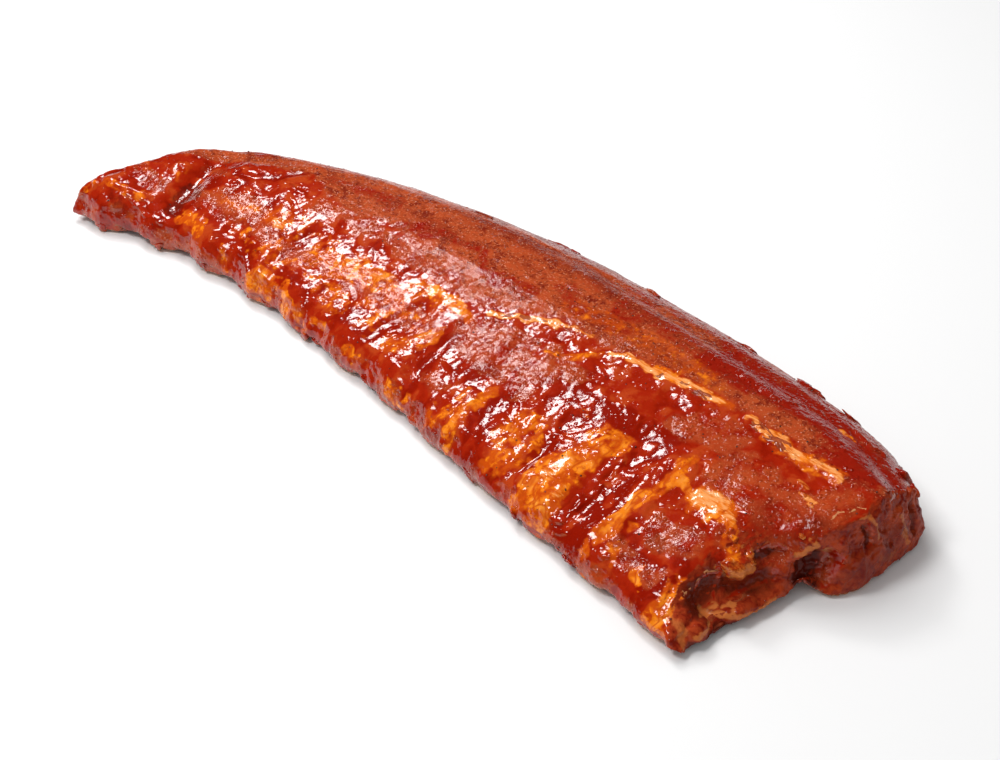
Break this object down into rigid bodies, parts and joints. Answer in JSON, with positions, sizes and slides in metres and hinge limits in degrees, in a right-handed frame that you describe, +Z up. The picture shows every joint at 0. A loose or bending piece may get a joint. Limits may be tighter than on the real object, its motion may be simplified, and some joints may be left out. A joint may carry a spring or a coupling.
{
  "type": "rack of ribs",
  "caption": "Whole uncut rack of pork loin ribs, marinated and glazed, lying bone side down, wide at one cut end and narrowing to a tip.",
  "frame": {"origin": "on the surface the rack lies on, under the middle of its length and width", "axes": "+X along the rack towards its wide cut end, +Y across it towards the loin, with the rib tips at -Y, +Z up"},
  "size_m": [0.4422, 0.1526, 0.0369],
  "materials": {
    "glazed_meat": "satin",
    "glaze": "gloss",
    "fat": "gloss",
    "spice": "matte"
  },
  "bodies": {
    "root": {"rib_rack": "glazed_meat"}
  },
  "joints": []
}
